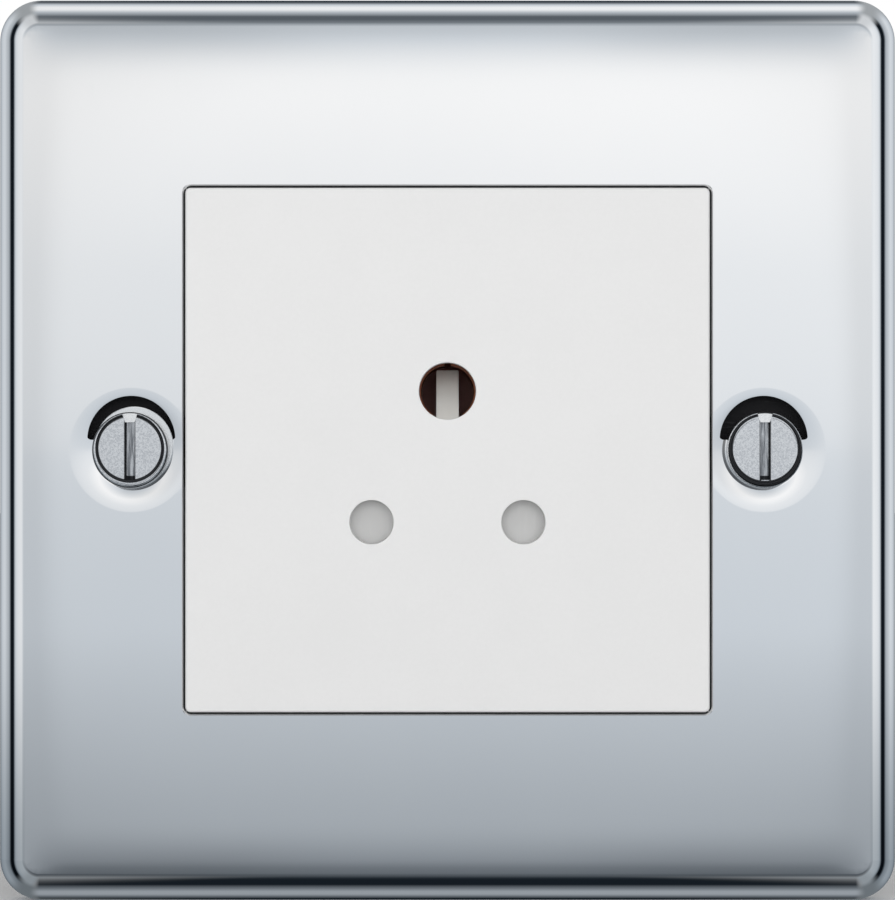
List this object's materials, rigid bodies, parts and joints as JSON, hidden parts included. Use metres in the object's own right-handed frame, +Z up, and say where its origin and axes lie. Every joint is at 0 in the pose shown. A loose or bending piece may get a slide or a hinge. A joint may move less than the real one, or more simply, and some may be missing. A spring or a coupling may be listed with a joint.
{
  "type": "round pin socket",
  "caption": "Flush wall socket: raised polished metal plate with rolled edges, square moulded insert, round pin holes behind a sliding shutter, slotted fixing screws.",
  "frame": {"origin": "centre of the plate in the plane of the wall, midway between the two fixing screws", "axes": "+Z up with the earth hole above the other two, +X to the right seen from the room, +Y into the wall, so the face looks along -Y"},
  "size_m": [0.086, 0.0267, 0.0864],
  "materials": {
    "plate_chrome": "mirror polished chromium plate on pressed metal",
    "fixing_screw_nickel": "turned head, nickel plated, fine turning marks",
    "white_moulding": "white thermoset moulding, satin to gloss",
    "shutter_moulding": "grey moulded plastic",
    "carrier_moulding": "pale grey moulded plastic",
    "rear_moulding": "off-white moulding, fine spark-eroded texture",
    "contact_bronze": "phosphor bronze strip, slightly tarnished",
    "terminal_brass": "machined brass bar and strip",
    "terminal_screw_metal": "turned brass",
    "strap_steel": "blackened pressed steel",
    "plated_steel": "zinc plated steel",
    "rivet_metal": "plated steel rivet",
    "spring_wire": "stainless spring wire"
  },
  "bodies": {
    "socket": {"front_plate": "plate_chrome", "plate_stud_top": "plated_steel", "plate_stud_bottom": "plated_steel", "plate_nut_top": "plated_steel", "plate_nut_bottom": "plated_steel", "mounting_strap": "strap_steel", "socket_front": "white_moulding", "shutter_spring": "spring_wire", "contact_cover": "carrier_moulding", "earth_contact": "contact_bronze", "line_contact": "contact_bronze", "neutral_contact": "contact_bronze", "earth_terminal": "terminal_brass", "line_terminal": "terminal_brass", "neutral_terminal": "terminal_brass", "earth_terminal_screw": "terminal_screw_metal", "line_terminal_screw": "terminal_screw_metal", "neutral_terminal_screw": "terminal_screw_metal", "earth_link": "terminal_brass", "strap_rivet": "rivet_metal", "rear_housing": "rear_moulding", "housing_screw_top_left": "plated_steel", "housing_screw_top_right": "plated_steel", "housing_screw_bottom_left": "plated_steel", "housing_screw_bottom_right": "plated_steel", "fixing_screw_left": "fixing_screw_nickel", "fixing_screw_right": "fixing_screw_nickel"},
    "shutter": {"shutter": "shutter_moulding"}
  },
  "joints": [
    {"name": "shutter_slide", "type": "slide", "parent": "socket", "child": "shutter", "axis": [0, 0, -1], "range_m": [0, 0.0056], "stiffness_N_per_m": 150, "springref_m": -0.004, "deforming": ["shutter_spring"]}
  ]
}
